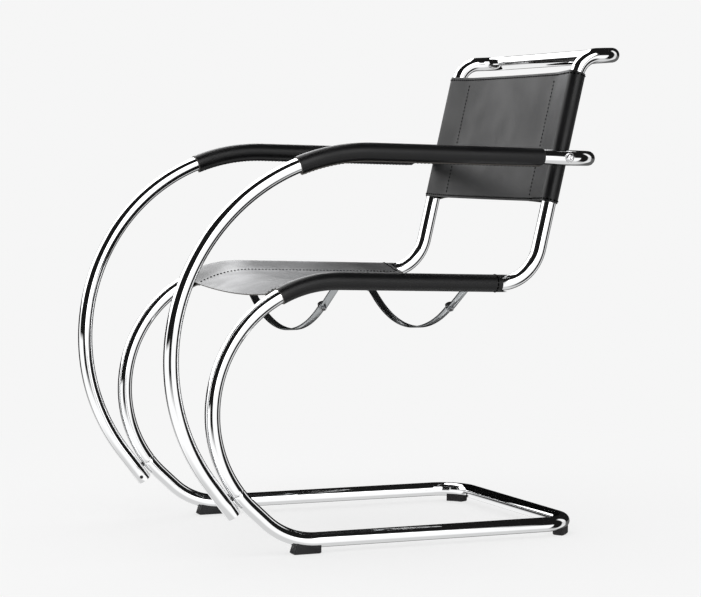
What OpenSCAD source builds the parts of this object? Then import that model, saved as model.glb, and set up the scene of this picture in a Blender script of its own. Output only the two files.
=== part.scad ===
// Cantilever lounge chair: bent steel tube frame in two parts, a bent tube arm loop, two leather
// slings, two leather arm sleeves, two bolted braces under the seat and four plastic feet.
// The chair faces -Y, +Z is up and the floor is at zero.

/* [Frame tube] */
// Outside diameter of every bent tube
tube_d = 25; // [22:0.5:28]
// Wall thickness of the tube
tube_wall = 2; // [1.5:0.1:3]
// Distance between the centre lines of the two side rails
rail_spread = 452; // [400:1:500]
// Tube underside above the floor
foot_h = 9; // [7:0.5:16]

/* [Lower frame] */
// Straight runner from the toe bend to the rear corner
runner_len = 421; // [360:1:460]
// Bend radius of the rear corners
rear_corner_r = 59; // [48:1:80]
// Bend radius where the runner turns up into the leg
toe_r = 130; // [110:1:150]
// Angle of the toe bend
toe_deg = 43; // [40:0.5:46]
// Straight between the toe bend and the knee bend
leg_len = 32.5; // [25:0.5:45]

/* [Upper frame] */
// Radius of the big knee bend at the front of the seat
knee_r = 210.5; // [195:0.5:225]
// Fall of the seat rail toward the rear
seat_slope = 1.7; // [0.5:0.1:4]
// Straight length of the seat rail
seat_len = 293; // [270:1:310]
// Bend radius between seat rail and upright
hip_r = 74.5; // [65:0.5:90]
// Lean of the upright from plumb
back_lean = 13.2; // [9:0.1:18]
// Straight length of the upright
back_len = 302; // [280:1:330]
// Radius of the rearward bend above the back
crest_r = 42.5; // [36:0.5:50]
// Rise of the short arms that carry the top bar
crest_slope = 2.8; // [0:0.1:6]
// Straight length of those arms
crest_len = 8; // [4:0.5:20]
// Bend radius of the top corners
top_corner_r = 36.5; // [32:0.5:60]

/* [Leg joint] */
// Place of the joint between the frames, as the angle up the knee bend
seam_deg = 9.5; // [8:0.5:12]
// Open line between the two tube ends
seam_gap = 0.5; // [0.2:0.1:1]
// Length of the spigot inside each tube
spigot_len = 28; // [18:1:32]
// Diameter of the stud that ties the arm end to the spigot
stud_d = 8; // [6:0.5:10]

/* [Arm loop] */
// Gap between the arm tube and the leg tube at the joint
arm_gap = 1.6; // [1:0.1:3]
// Length of the arm tube below the joint
arm_tail = 24; // [20:0.5:30]
// Straight length at the lower end of the arm tube
arm_foot_len = 65.3; // [50:0.1:80]
// Radius of the long front bend of the arm tube
arm_r = 331; // [315:1:345]
// Fall of the arm rail toward the rear
arm_slope = 1.3; // [0.5:0.1:3]
// Straight arm rail behind the screw
arm_past = 10.5; // [9:0.1:40]
// Bend radius of the rear arm corners
arm_corner_r = 50; // [40:1:60]
// Outward lean of each arm side
arm_lean = 1.6; // [1.2:0.1:1.9]
// Diameter of the screw that fixes the arm to the upright
arm_screw_d = 8; // [6:0.5:9]

/* [Leather] */
// Thickness of the saddle leather
leather_t = 2; // [1.6:0.1:3]
// Play between leather and tube
leather_gap = 0.2; // [0.2:0.1:0.5]
// Distance of the pocket seam from the rail centre line
pocket_w = 60; // [45:1:75]
// Lap of the turned back leather past the seam
flap_w = 6; // [4:0.5:10]
// Sag of the seat at its middle
seat_sag = 8; // [4:0.5:15]
// Hollow of the back at its middle
back_sag = 3; // [2:0.5:12]
// How far the seat leather runs down the knee bend
seat_front_deg = 28.8; // [20:0.2:32]
// How far the seat leather runs into the hip bend
seat_rear_deg = 1; // [0.5:0.5:8]
// Height of the lower edge of the back leather above the hip bend
back_low = 80; // [60:0.5:90]
// How far the back leather runs into the crest bend
back_top_deg = 4.8; // [1:0.2:12]
// How far the arm sleeve runs down the arm bend
sleeve_front_deg = 22.6; // [15:0.2:28]
// Rear end of the arm sleeve ahead of the screw
sleeve_clear = 45.1; // [20:0.1:70]

/* [Braces] */
// Width of the brace bar
bar_w = 14; // [10:0.5:16]
// Thickness of the brace bar
bar_t = 3; // [2.5:0.5:4]
// Fall of the front brace's tabs from the rail, which is half the angle of its strap
front_brace_deg = 33.5; // [30:0.1:36]
// Fall of the rear brace's tabs
rear_brace_deg = 31.3; // [30:0.1:36]
// Bend radius of the front strap
front_strap_r = 280; // [250:1:300]
// Bend radius of the rear strap
rear_strap_r = 288; // [250:1:300]
// Flat end of the strap between its bend and the bolt
strap_flat = 5.4; // [2:0.1:12]
// Distance of the right side's bolts from the rail centre, along their short tabs
short_tab = 54; // [45:0.5:60]
// Diameter of the brace bolts
bolt_d = 6; // [5:0.5:6]
// Front brace, measured back from where the knee bend starts to fall
front_brace_y = 38.2; // [30:0.1:60]
// Rear brace, measured from the same place
rear_brace_y = 274.4; // [230:0.1:290]

/* [Feet] */
// Width of the feet
foot_w = 20; // [16:0.5:22]
// How far the foot rises up the sides of the tube
foot_cup = 5; // [2:0.5:7]
// Front foot ahead of the toe bend's end
front_foot_nose = 42; // [35:0.5:48]
// Front foot behind the toe bend's end
front_foot_heel = 6; // [4:0.5:15]
// Length of the rear foot along the corner
rear_foot_len = 34; // [25:0.5:40]
// Bevel along the lower edges of the feet
foot_bevel = 2; // [1:0.25:3]
// Diameter of the foot's pin in the tube
pin_d = 6; // [5:0.5:8]

/* [Hidden] */

// Radial play of screws, studs, pins and plugs in their holes
fit_gap = 0.1;
// Overrun of cuts
over = 1;
// Solid strip where the two layers of a pocket are sewn together
seam_w = 2;
// Lap by which pieces of one body reach into each other, and by which a straight is slimmer than a bend
lap = 0.1;
// Chamfer on the arm plugs
plug_chamfer = 1.5;
// Length of the plug in the arm end
plug_len = 40;
// Set screw in the arm end: diameter, place above the end, how far it is turned from the inner side
// toward the front, and depth below the tube's skin
set_screw_d = 6.2;
set_screw_at = 10.3;
set_screw_swing = 23;
set_screw_sink = 1;
set_screw_len = 8;
// Hex sockets: across flats and depth of the small and the large screw
small_hex = 3;
large_hex = 5;
hex_deep = 2.4;
// Button head of the arm screw, and the curved washer under it
arm_head_d = 14;
arm_head_h = 4;
arm_washer_d = 16;
arm_washer_t = 1;
// Bush between arm and upright, and threaded insert inside the upright
bush_d = 13;
insert_d = 11;
insert_len = 12;
// Play of the leather round the bush, and round the brace tabs
hole_play = 1;
// Brace bolt head and nut
bolt_head_d = 15;
bolt_head_h = 4.5;
bolt_edge = 1;
nut_flats = 10;
nut_h = 3;
bolt_tip = 0.8;
// Foot pin length above the tube's wall, and slant of the foot's front face
pin_rise = 4;
nose_slant = 7;
// Share of the way round the rear corner where the rear foot sits
rear_foot_share = 0.54;
// Share of the front foot's length where its pin stands, from the nose
front_pin_share = 0.6;

tube_fn = 48;
arc_fn = 96;
bolt_fn = 32;

rail_x = rail_spread / 2;
tube_r = tube_d / 2;
bore_d = tube_d - 2 * tube_wall;
runner_z = foot_h + tube_r;
plug_d = bore_d - 2 * fit_gap;

// Side plane helpers: points are [y, z], headings are degrees from +Y toward +Z,
// side is 1 for a bend to the left of the heading and -1 for a bend to the right.
function aim(a) = [cos(a), sin(a)];
function left_of(a) = [-sin(a), cos(a)];
function centre(p, a, r, side) = p + side * r * left_of(a);
function past_arc(p, a, r, turn, side) = centre(p, a, r, side) - side * r * left_of(a + side * turn);
function past_line(p, a, l) = p + l * aim(a);

// Main side profile, from the front end of the runner
leg_a = 180 - toe_deg;
leg_low = past_arc([0, runner_z], 180, toe_r, toe_deg, -1);
leg_top = past_line(leg_low, leg_a, leg_len);
knee_turn = leg_a + seat_slope;
seam_a = leg_a - seam_deg;
seam_p = past_arc(leg_top, leg_a, knee_r, seam_deg, -1);
half_gap_deg = seam_gap / 2 / knee_r * 180 / PI;
seat_p = past_arc(leg_top, leg_a, knee_r, knee_turn, -1);
seat_end = past_line(seat_p, -seat_slope, seat_len);
hip_turn = 90 - back_lean + seat_slope;
back_a = 90 - back_lean;
back_p = past_arc(seat_end, -seat_slope, hip_r, hip_turn, 1);
back_end = past_line(back_p, back_a, back_len);
crest_turn = back_a - crest_slope;
crest_p = past_arc(back_end, back_a, crest_r, crest_turn, -1);
top_p = past_line(crest_p, crest_slope, crest_len + top_corner_r);
rear_bar = rail_spread - 2 * rear_corner_r;
top_bar = rail_spread - 2 * top_corner_r;

// Arm side: its lower end lies along the leg, one tube and the gap ahead of it
arm_p = past_line(seam_p, seam_a, -arm_tail) + (tube_d + arm_gap) * left_of(seam_a);
arm_foot_end = past_line([0, 0], seam_a, arm_foot_len);
arm_turn = seam_a + arm_slope;
arm_rail = past_arc(arm_foot_end, seam_a, arm_r, arm_turn, -1);
// Where the arm rail passes the upright, measured in the arm's own plane from its lower end
arm_off = tube_d + leather_t + 2 * leather_gap;
cross_y = (back_p[0] + (arm_p[1] + arm_rail[1] + (arm_p[0] + arm_rail[0]) * tan(arm_slope)
    - back_p[1]) * tan(back_lean)) / (1 + tan(arm_slope) * tan(back_lean));
cross_u = cross_y - arm_p[0];
cross_v = arm_rail[1] - (cross_u - arm_rail[0]) * tan(arm_slope);
arm_toe = asin((arm_off - cross_v * sin(arm_lean)) / cross_u);
cross_z = arm_p[1] + cross_v * cos(arm_lean);
cross_s = (cross_u - arm_rail[0]) / cos(arm_slope);
arm_rail_len = cross_s + arm_past;
sleeve_len = cross_s - sleeve_clear;
cross_wy = arm_p[0] + cross_u * cos(arm_toe) - cross_v * sin(arm_lean) * sin(arm_toe);
// The rear corners turn the leaning, splayed rails into one straight cross bar
corner_x = cos(arm_slope) * sin(arm_lean) * cos(arm_toe) + sin(arm_slope) * sin(arm_toe);
corner_y = cos(arm_lean) * cos(arm_toe);
corner_z = sin(arm_slope) * sin(arm_lean) * cos(arm_toe) - cos(arm_slope) * sin(arm_toe);
corner_roll = atan2(corner_y, corner_x);
corner_turn = acos(corner_z);
rail_end_u = arm_rail[0] + arm_rail_len * cos(arm_slope);
rail_end_v = arm_rail[1] - arm_rail_len * sin(arm_slope);
rail_end_x = rail_x + rail_end_u * sin(arm_toe) + rail_end_v * sin(arm_lean) * cos(arm_toe);
arm_bar = 2 * (rail_end_x - arm_corner_r * tan(corner_turn / 2) * (1 + corner_z));

// The chair stands centred over its own footprint
front_y = arm_p[0] + (past_arc(arm_foot_end, seam_a, arm_r, seam_a - 90, -1)[0]) * cos(arm_toe) - tube_r;
rear_y = top_p[0] + tube_r;
mid_y = (front_y + rear_y) / 2;

// Slings
pocket_r = tube_r + leather_gap;
skin_r = pocket_r + leather_t;
pocket_x = rail_x - pocket_w;

// A brace: place [y, z], fall, bend radius, and how far from the rail its bend ends and its bolt sits
function brace(y, a, r) = let (l = (rail_x - r * sin(a)) / cos(a))
    [y, seat_p[1] - (y - seat_p[0]) * tan(seat_slope), a, r, l, l - strap_flat];
front_brace = brace(front_brace_y, front_brace_deg, front_strap_r);
rear_brace = brace(rear_brace_y, rear_brace_deg, rear_strap_r);

module stand() translate([0, -mid_y, 0]) children();
module other_side() mirror([1, 0, 0]) children();
module both_sides() {
    children();
    mirror([1, 0, 0]) children();
}
module on_side(p, a) translate([rail_x, p[0], p[1]]) rotate([a, 0, 0]) children();
module in_middle(p, a) translate([0, p[0], p[1]]) rotate([a, 0, 0]) children();
module arm_plane() translate([rail_x, arm_p[0], arm_p[1]]) rotate([0, 0, -arm_toe])
    rotate([0, arm_lean, 0]) children();
module at_cross() translate([0, cross_wy, cross_z]) rotate([0, 90, 0]) children();
// Sweeps a section, drawn with X to the chair's side and Y along the heading's left normal
module run_straight(l) translate([0, l, 0]) rotate([90, 0, 0]) linear_extrude(l) children();
module run_left(r, turn) translate([0, 0, r]) rotate([0, 90, 0])
    rotate_extrude(angle = turn, $fn = arc_fn) translate([r, 0]) rotate(90) children();
module run_right(r, turn) translate([0, 0, -r]) rotate([0, -90, 0])
    rotate_extrude(angle = turn, $fn = arc_fn) translate([r, 0]) rotate(-90) children();

// Tube bending table: each row is [straight, roll, turn, radius]
module wall_ring(d, bore) difference() {
    circle(d = d, $fn = tube_fn);
    circle(d = bore, $fn = tube_fn);
}
module bent_tube(rows, i = 0) {
    if (i < len(rows)) {
        feed = rows[i][0];
        roll = rows[i][1];
        turn = rows[i][2];
        r = rows[i][3];
        if (feed > 0) translate([0, 0, -lap]) linear_extrude(feed + 2 * lap)
            wall_ring(tube_d - lap, bore_d + lap);
        if (turn > 0) translate([0, 0, feed]) rotate([0, 0, roll]) {
            translate([r, 0, 0]) rotate([90, 0, 180]) rotate_extrude(angle = turn, $fn = arc_fn)
                translate([r, 0]) wall_ring(tube_d, bore_d);
            translate([r, 0, 0]) rotate([0, turn, 0]) translate([-r, 0, 0]) rotate([0, 0, -roll])
                bent_tube(rows, i + 1);
        }
    }
}
module start_tube(a) rotate([a - 90, 0, 0]) rotate([0, 0, 90]) children();

// Hole round a foot's pin, upward from below the tube
module pin_at(p, d, low, high) translate([p[0], p[1], low]) cylinder(h = high - low, d = d, $fn = bolt_fn);
front_pin = [rail_x, -front_foot_nose + (front_foot_nose + front_foot_heel) * front_pin_share];
rear_foot_deg = 90 * rear_foot_share;
rear_foot_half = rear_foot_len / rear_corner_r * 90 / PI;
rear_pin = [rail_x - rear_corner_r + rear_corner_r * cos(rear_foot_deg),
    runner_len + rear_corner_r * sin(rear_foot_deg)];
pin_top = foot_h + tube_wall + pin_rise;

// Stud across the leg joint, along the line from the spigot to the arm plug
module stud_line() on_side(seam_p, seam_a) children();

module lower_frame() color("gainsboro") stand() difference() {
    low_a = seam_deg - half_gap_deg;
    low_p = past_arc(leg_top, leg_a, knee_r, low_a, -1);
    translate([rail_x, low_p[0], low_p[1]]) start_tube(leg_a - low_a - 180) bent_tube([
        [0, 180, low_a, knee_r],
        [leg_len, 180, toe_deg, toe_r],
        [runner_len, 90, 90, rear_corner_r],
        [rear_bar, 90, 90, rear_corner_r],
        [runner_len, 180, toe_deg, toe_r],
        [leg_len, 180, low_a, knee_r]]);
    both_sides() {
        stud_line() cylinder(h = tube_r + over, d = stud_d + 2 * fit_gap, $fn = bolt_fn);
        pin_at(front_pin, pin_d + 2 * fit_gap, 0, runner_z);
        pin_at(rear_pin, pin_d + 2 * fit_gap, 0, runner_z);
    }
}

module upper_frame() color("gainsboro") stand() difference() {
    up_a = seam_deg + half_gap_deg;
    up_p = past_arc(leg_top, leg_a, knee_r, up_a, -1);
    translate([rail_x, up_p[0], up_p[1]]) start_tube(leg_a - up_a) bent_tube([
        [0, 0, knee_turn - up_a, knee_r],
        [seat_len, 180, hip_turn, hip_r],
        [back_len, 0, crest_turn, crest_r],
        [crest_len, 90, 90, top_corner_r],
        [top_bar, 90, 90, top_corner_r],
        [crest_len, 0, crest_turn, crest_r],
        [back_len, 180, hip_turn, hip_r],
        [seat_len, 0, knee_turn - up_a, knee_r]]);
    both_sides() {
        stud_line() cylinder(h = tube_r + over, d = stud_d + 2 * fit_gap, $fn = bolt_fn);
        at_cross() translate([0, 0, rail_x]) cylinder(h = tube_d, d = insert_d + 2 * fit_gap, $fn = bolt_fn);
    }
}

module arm_loop() color("gainsboro") stand() difference() {
    arm_plane() start_tube(seam_a) bent_tube([
        [arm_foot_len, 0, arm_turn, arm_r],
        [arm_rail_len, corner_roll, corner_turn, arm_corner_r],
        [arm_bar, corner_roll, corner_turn, arm_corner_r],
        [arm_rail_len, 0, arm_turn, arm_r],
        [arm_foot_len, 0, 0, 0]]);
    both_sides() {
        arm_end_holes(fit_gap);
        at_cross() translate([0, 0, rail_x]) cylinder(h = 2 * tube_d + arm_off,
            d = arm_screw_d + 2 * fit_gap, $fn = bolt_fn);
    }
}
// Holes in the arm's lower end: the stud from the leg and the set screw from the inner side
module arm_end_holes(play) {
    stud_line() cylinder(h = tube_d + arm_gap, d = stud_d + 2 * play, $fn = bolt_fn);
    arm_plane() rotate([seam_a, 0, 0]) rotate([0, set_screw_swing, 0]) translate([-tube_d, set_screw_at, 0])
        rotate([0, 90, 0]) cylinder(h = tube_d, d = set_screw_d + 2 * play, $fn = bolt_fn);
}

// Spigot bent like the leg, with the stud's hole
module joint_spigot() difference() {
    spigot_deg = spigot_len / knee_r * 180 / PI;
    on_side(seam_p, seam_a) translate([0, 0, -knee_r]) rotate([spigot_deg, 0, 0]) translate([0, 0, knee_r])
        run_right(knee_r, 2 * spigot_deg) circle(d = plug_d, $fn = tube_fn);
    stud_line() cylinder(h = tube_r, d = stud_d + 2 * fit_gap, $fn = bolt_fn);
}
module joint_spigot_left() color("silver") stand() joint_spigot();
module joint_spigot_right() color("silver") stand() other_side() joint_spigot();

// Studs from the spigot into the arm plug, across the gap between the tubes
module joint_studs() color("dimgray") stand() both_sides() stud_line()
    cylinder(h = tube_d + arm_gap, d = stud_d, $fn = bolt_fn);

// Plug that closes the arm's lower end
module arm_plug() difference() {
    arm_plane() start_tube(seam_a) {
        cylinder(h = plug_chamfer, d1 = plug_d - 2 * plug_chamfer, d2 = plug_d, $fn = tube_fn);
        translate([0, 0, plug_chamfer]) cylinder(h = plug_len - plug_chamfer, d = plug_d, $fn = tube_fn);
    }
    arm_end_holes(fit_gap);
}
module arm_plug_left() color("silver") stand() arm_plug();
module arm_plug_right() color("silver") stand() other_side() arm_plug();

module hex_socket(flats) rotate([0, 0, 30]) cylinder(h = hex_deep + over, d = flats / cos(30), $fn = 6);

// Set screws, sunk in the inner side of the arm ends
module arm_set_screws() color("black") stand() both_sides()
    arm_plane() rotate([seam_a, 0, 0]) rotate([0, set_screw_swing, 0])
    translate([-tube_r + set_screw_sink, set_screw_at, 0]) rotate([0, 90, 0]) difference() {
        cylinder(h = set_screw_len, d = set_screw_d, $fn = bolt_fn);
        translate([0, 0, -over]) hex_socket(small_hex);
    }

// Arm screws: button head outside the arm tube, shank through the bush into the insert
cross_x = rail_x + arm_off;
module arm_screws() color("silver") stand() both_sides() at_cross() difference() {
    head_z = cross_x + tube_r + arm_washer_t;
    union() {
        translate([0, 0, rail_x + tube_r - insert_len + over]) cylinder(
            h = head_z + over - (rail_x + tube_r - insert_len + over), d = arm_screw_d, $fn = bolt_fn);
        translate([0, 0, head_z]) cylinder(h = arm_head_h / 2, d = arm_head_d, $fn = bolt_fn);
        translate([0, 0, head_z + arm_head_h / 2]) cylinder(h = arm_head_h / 2, d1 = arm_head_d,
            d2 = arm_head_d - arm_head_h, $fn = bolt_fn);
    }
    translate([0, 0, head_z + arm_head_h - hex_deep]) hex_socket(large_hex);
}
module arm_rail_form() arm_plane() translate([0, arm_rail[0], arm_rail[1]]) rotate([-arm_slope, 0, 0])
    rotate([-90, 0, 0]) cylinder(h = arm_rail_len, d = tube_d, $fn = tube_fn);
module upright_form() on_side(back_p, back_a) rotate([-90, 0, 0]) cylinder(h = back_len, d = tube_d, $fn = tube_fn);

// Washers with a hollow underside that sits on the arm tube
module arm_washers() color("silver") stand() both_sides() difference() {
    at_cross() translate([0, 0, cross_x]) difference() {
        cylinder(h = tube_r + arm_washer_t, d = arm_washer_d, $fn = bolt_fn);
        translate([0, 0, -over]) cylinder(h = tube_d + over, d = arm_screw_d + 2 * fit_gap, $fn = bolt_fn);
    }
    arm_rail_form();
}
// Bushes that hold the arm tube off the upright, hollowed to both tubes
module arm_bushes() color("dimgray") stand() both_sides() difference() {
    at_cross() translate([0, 0, rail_x]) difference() {
        cylinder(h = arm_off, d = bush_d, $fn = bolt_fn);
        translate([0, 0, -over]) cylinder(h = arm_off + 2 * over, d = arm_screw_d + 2 * fit_gap, $fn = bolt_fn);
    }
    arm_rail_form();
    upright_form();
}
// Threaded inserts inside the uprights
module upright_inserts() color("silver") stand() both_sides() intersection() {
    at_cross() translate([0, 0, rail_x + tube_r - insert_len]) difference() {
        cylinder(h = insert_len + over, d = insert_d, $fn = bolt_fn);
        translate([0, 0, -over]) cylinder(h = insert_len + 3 * over, d = arm_screw_d + 2 * fit_gap, $fn = bolt_fn);
    }
    upright_form();
}

// Leather pocket sling, drawn across the chair: a web between two seams, and a pocket round each
// rail whose two layers run from the seam to the tube.
function tangent(p, c, r, s) = let (d = norm(p - c), b = atan2(p[1] - c[1], p[0] - c[0]), g = acos(r / d))
    c + r * [cos(b + s * g), sin(b + s * g)];
module sling_section(sag) {
    web_r = (pocket_x * pocket_x + sag * sag) / (2 * sag);
    web_c = web_r - sag;
    skin = web_r - leather_t / 2;
    back = web_r + leather_t / 2;
    under = web_r + 1.5 * leather_t;
    top_q = web_c - sqrt(skin * skin - pocket_x * pocket_x) - lap / 2;
    mid_q = web_c - sqrt(back * back - pocket_x * pocket_x);
    low_q = web_c - sqrt(under * under - pocket_x * pocket_x) + lap / 2;
    rail = [rail_x, 0];
    apex = [pocket_x + seam_w, mid_q];
    half_w = pocket_x + seam_w / 2;
    intersection() {
        translate([-half_w, -sag - 2 * leather_t]) square([2 * half_w, sag + 4 * leather_t]);
        translate([0, web_c]) difference() {
            circle(r = back, $fn = 4 * arc_fn);
            circle(r = skin, $fn = 4 * arc_fn);
        }
    }
    for (s = [0, 1]) mirror([s, 0]) {
        intersection() {
            translate([pocket_x - flap_w, -sag - 2 * leather_t]) square([flap_w + seam_w / 2, sag + 4 * leather_t]);
            translate([0, web_c]) difference() {
                circle(r = under, $fn = 4 * arc_fn);
                circle(r = back - lap, $fn = 4 * arc_fn);
            }
        }
        difference() {
            union() {
                translate(rail) circle(r = skin_r, $fn = tube_fn);
                polygon([[pocket_x, low_q], tangent([pocket_x, low_q], rail, skin_r - lap / 2, 1),
                    tangent([pocket_x, top_q], rail, skin_r - lap / 2, -1), [pocket_x, top_q]]);
            }
            translate(rail) circle(r = pocket_r, $fn = tube_fn);
            polygon([apex, tangent(apex, rail, pocket_r - lap / 2, 1), tangent(apex, rail, pocket_r - lap / 2, -1)]);
        }
    }
}

// A flat bar that runs out from the rail's centre line, inward and down
module brace_line(b) translate([rail_x, b[0], b[1]]) rotate([0, -b[2], 0]) children();
module bar(from, to, low, high, w) translate([-to, -w / 2, low]) cube([to - from, w, high - low]);
// Bar from one place to another, with a round end about its bolt
module eyed_bar(from, to, eye, low, high, w) {
    bar(from, to, low, high, w);
    translate([-eye, 0, low]) cylinder(h = high - low, d = w, $fn = tube_fn);
}
module at_bolts(b) {
    brace_line(b) translate([-b[5], 0, 0]) children();
    other_side() brace_line(b) translate([-short_tab, 0, 0]) children();
}

module seat_leather() color("dimgray") stand() difference() {
    in_middle(seat_p, -seat_slope) {
        run_straight(seat_len) sling_section(seat_sag);
        mirror([0, 1, 0]) run_right(knee_r, seat_front_deg) sling_section(seat_sag);
        translate([0, seat_len, 0]) run_left(hip_r, seat_rear_deg) sling_section(seat_sag);
    }
    both_sides() for (b = [front_brace, rear_brace]) brace_line(b)
        bar(tube_r, pocket_w, -1.5 * bar_t - hole_play, -0.5 * bar_t + hole_play, bar_w + 2 * hole_play);
}

module back_leather() color("dimgray") stand() difference() {
    in_middle(back_p, back_a) {
        translate([0, back_low, 0]) run_straight(back_len - back_low) sling_section(back_sag);
        translate([0, back_len, 0]) run_right(crest_r, back_top_deg) sling_section(back_sag);
    }
    both_sides() at_cross() translate([0, 0, rail_x]) cylinder(h = tube_d, d = bush_d + 2 * hole_play,
        $fn = bolt_fn);
}

module arm_sleeve() arm_plane() translate([0, arm_rail[0], arm_rail[1]]) rotate([-arm_slope, 0, 0]) {
    run_straight(sleeve_len) wall_ring(2 * skin_r, 2 * pocket_r);
    mirror([0, 1, 0]) run_right(arm_r, sleeve_front_deg) wall_ring(2 * skin_r, 2 * pocket_r);
}
module arm_sleeve_left() color([0.1, 0.1, 0.1]) stand() arm_sleeve();
module arm_sleeve_right() color([0.1, 0.1, 0.1]) stand() other_side() arm_sleeve();

// Braces: a strap hangs in an arc between two tabs that are welded to the rails
module bolt_hole() translate([0, 0, -2 * bar_t]) cylinder(h = 4 * bar_t, d = bolt_d + 2 * fit_gap,
    $fn = bolt_fn);
module strap(b) difference() {
    low = -bar_t / 2 + lap / 2;
    union() {
        translate([0, b[0] + bar_w / 2, b[1] - rail_x * tan(b[2]) + b[3] / cos(b[2])])
            rotate([90, 0, 0]) rotate([0, 0, -90 - b[2]]) rotate_extrude(angle = 2 * b[2], $fn = arc_fn)
            translate([b[3] - bar_t / 2, 0]) square([bar_t, bar_w]);
        brace_line(b) eyed_bar(b[5], b[4] + lap, b[5], low, -low, bar_w - lap);
        other_side() brace_line(b) eyed_bar(short_tab, b[4] + lap, short_tab, low, -low, bar_w - lap);
    }
    at_bolts(b) bolt_hole();
}
module front_brace_strap() color("silver") stand() strap(front_brace);
module rear_brace_strap() color("silver") stand() strap(rear_brace);

module seat_rail_form() on_side(seat_p, -seat_slope) {
    rotate([-90, 0, 0]) cylinder(h = seat_len, d = tube_d, $fn = tube_fn);
    mirror([0, 1, 0]) run_right(knee_r, seat_front_deg) circle(d = tube_d, $fn = tube_fn);
}
module brace_tab(b, bolt_at) difference() {
    brace_line(b) difference() {
        eyed_bar(tube_r / 2, bolt_at, bolt_at, -1.5 * bar_t, -bar_t / 2, bar_w);
        translate([-bolt_at, 0, 0]) bolt_hole();
    }
    seat_rail_form();
}
module brace_tab_front_left() color("silver") stand() brace_tab(front_brace, front_brace[5]);
module brace_tab_front_right() color("silver") stand() other_side() brace_tab(front_brace, short_tab);
module brace_tab_rear_left() color("silver") stand() brace_tab(rear_brace, rear_brace[5]);
module brace_tab_rear_right() color("silver") stand() other_side() brace_tab(rear_brace, short_tab);

module brace_bolts() color("black") stand() for (b = [front_brace, rear_brace]) at_bolts(b) difference() {
    union() {
        translate([0, 0, -1.5 * bar_t - nut_h - bolt_tip]) cylinder(
            h = 2 * bar_t + nut_h + bolt_tip + bolt_head_h / 2, d = bolt_d, $fn = bolt_fn);
        translate([0, 0, bar_t / 2]) cylinder(h = bolt_head_h - bolt_edge, d = bolt_head_d, $fn = bolt_fn);
        translate([0, 0, bar_t / 2 + bolt_head_h - bolt_edge]) cylinder(h = bolt_edge, d1 = bolt_head_d,
            d2 = bolt_head_d - 2 * bolt_edge, $fn = bolt_fn);
    }
    translate([0, 0, bar_t / 2 + bolt_head_h - hex_deep]) hex_socket(large_hex);
}
module brace_nuts() color("silver") stand() for (b = [front_brace, rear_brace]) at_bolts(b)
    translate([0, 0, -1.5 * bar_t - nut_h]) difference() {
        cylinder(h = nut_h, d = nut_flats / cos(30), $fn = 6);
        translate([0, 0, -over]) cylinder(h = nut_h + 2 * over, d = bolt_d + 2 * fit_gap, $fn = bolt_fn);
    }

// Feet: the front ones are wedges that follow the rising tube, the rear ones follow the corner
module runner_form() {
    translate([rail_x, 0, runner_z]) rotate([-90, 0, 0]) cylinder(h = runner_len, d = tube_d, $fn = tube_fn);
    on_side([0, runner_z], 0) mirror([0, 1, 0]) run_left(toe_r, toe_deg) circle(d = tube_d, $fn = tube_fn);
}
module front_foot() {
    cup_z = foot_h + foot_cup;
    cup_r = toe_r + tube_r - foot_cup;
    difference() {
        intersection() {
            translate([rail_x - foot_w / 2, 0, 0]) rotate([90, 0, 90]) linear_extrude(foot_w) difference() {
                polygon([[-front_foot_nose + foot_bevel, 0], [front_foot_heel - foot_bevel, 0],
                    [front_foot_heel, foot_bevel], [front_foot_heel, cup_z], [0, cup_z],
                    [0, cup_z + foot_h], [-front_foot_nose + nose_slant, cup_z + foot_h],
                    [-front_foot_nose, foot_bevel]]);
                translate([0, runner_z + toe_r]) circle(r = cup_r, $fn = 2 * arc_fn);
            }
            translate([rail_x, front_foot_heel + over, 0]) rotate([90, 0, 0])
                linear_extrude(front_foot_nose + front_foot_heel + 2 * over) bevelled(cup_z + foot_h);
        }
        runner_form();
    }
    pin_at(front_pin, pin_d, foot_bevel, pin_top);
}
// Foot seen from its end, with both lower edges bevelled
module bevelled(h) polygon([[-foot_w / 2 + foot_bevel, 0], [foot_w / 2 - foot_bevel, 0],
    [foot_w / 2, foot_bevel], [foot_w / 2, h], [-foot_w / 2, h], [-foot_w / 2, foot_bevel]]);
module rear_foot() {
    translate([rail_x - rear_corner_r, runner_len, 0]) rotate([0, 0, rear_foot_deg - rear_foot_half])
        rotate_extrude(angle = 2 * rear_foot_half, $fn = arc_fn) translate([rear_corner_r, 0]) difference() {
            bevelled(foot_h + foot_cup);
            translate([0, runner_z]) circle(d = tube_d, $fn = tube_fn);
        }
    pin_at(rear_pin, pin_d, foot_bevel, pin_top);
}
module front_foot_left() color([0.12, 0.12, 0.12]) stand() front_foot();
module front_foot_right() color([0.12, 0.12, 0.12]) stand() other_side() front_foot();
module rear_foot_left() color([0.12, 0.12, 0.12]) stand() rear_foot();
module rear_foot_right() color([0.12, 0.12, 0.12]) stand() other_side() rear_foot();

lower_frame();
upper_frame();
arm_loop();
joint_spigot_left();
joint_spigot_right();
joint_studs();
arm_plug_left();
arm_plug_right();
arm_set_screws();
arm_screws();
arm_washers();
arm_bushes();
upright_inserts();
seat_leather();
back_leather();
arm_sleeve_left();
arm_sleeve_right();
front_brace_strap();
rear_brace_strap();
brace_tab_front_left();
brace_tab_front_right();
brace_tab_rear_left();
brace_tab_rear_right();
brace_bolts();
brace_nuts();
front_foot_left();
front_foot_right();
rear_foot_left();
rear_foot_right();
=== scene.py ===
"""Cantilever lounge chair: chromed tube frame, black saddle leather slings, arm sleeves, straps and feet."""

import math
from math import cos, radians, sin

import bmesh
import bpy
from mathutils import Matrix, Vector


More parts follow.
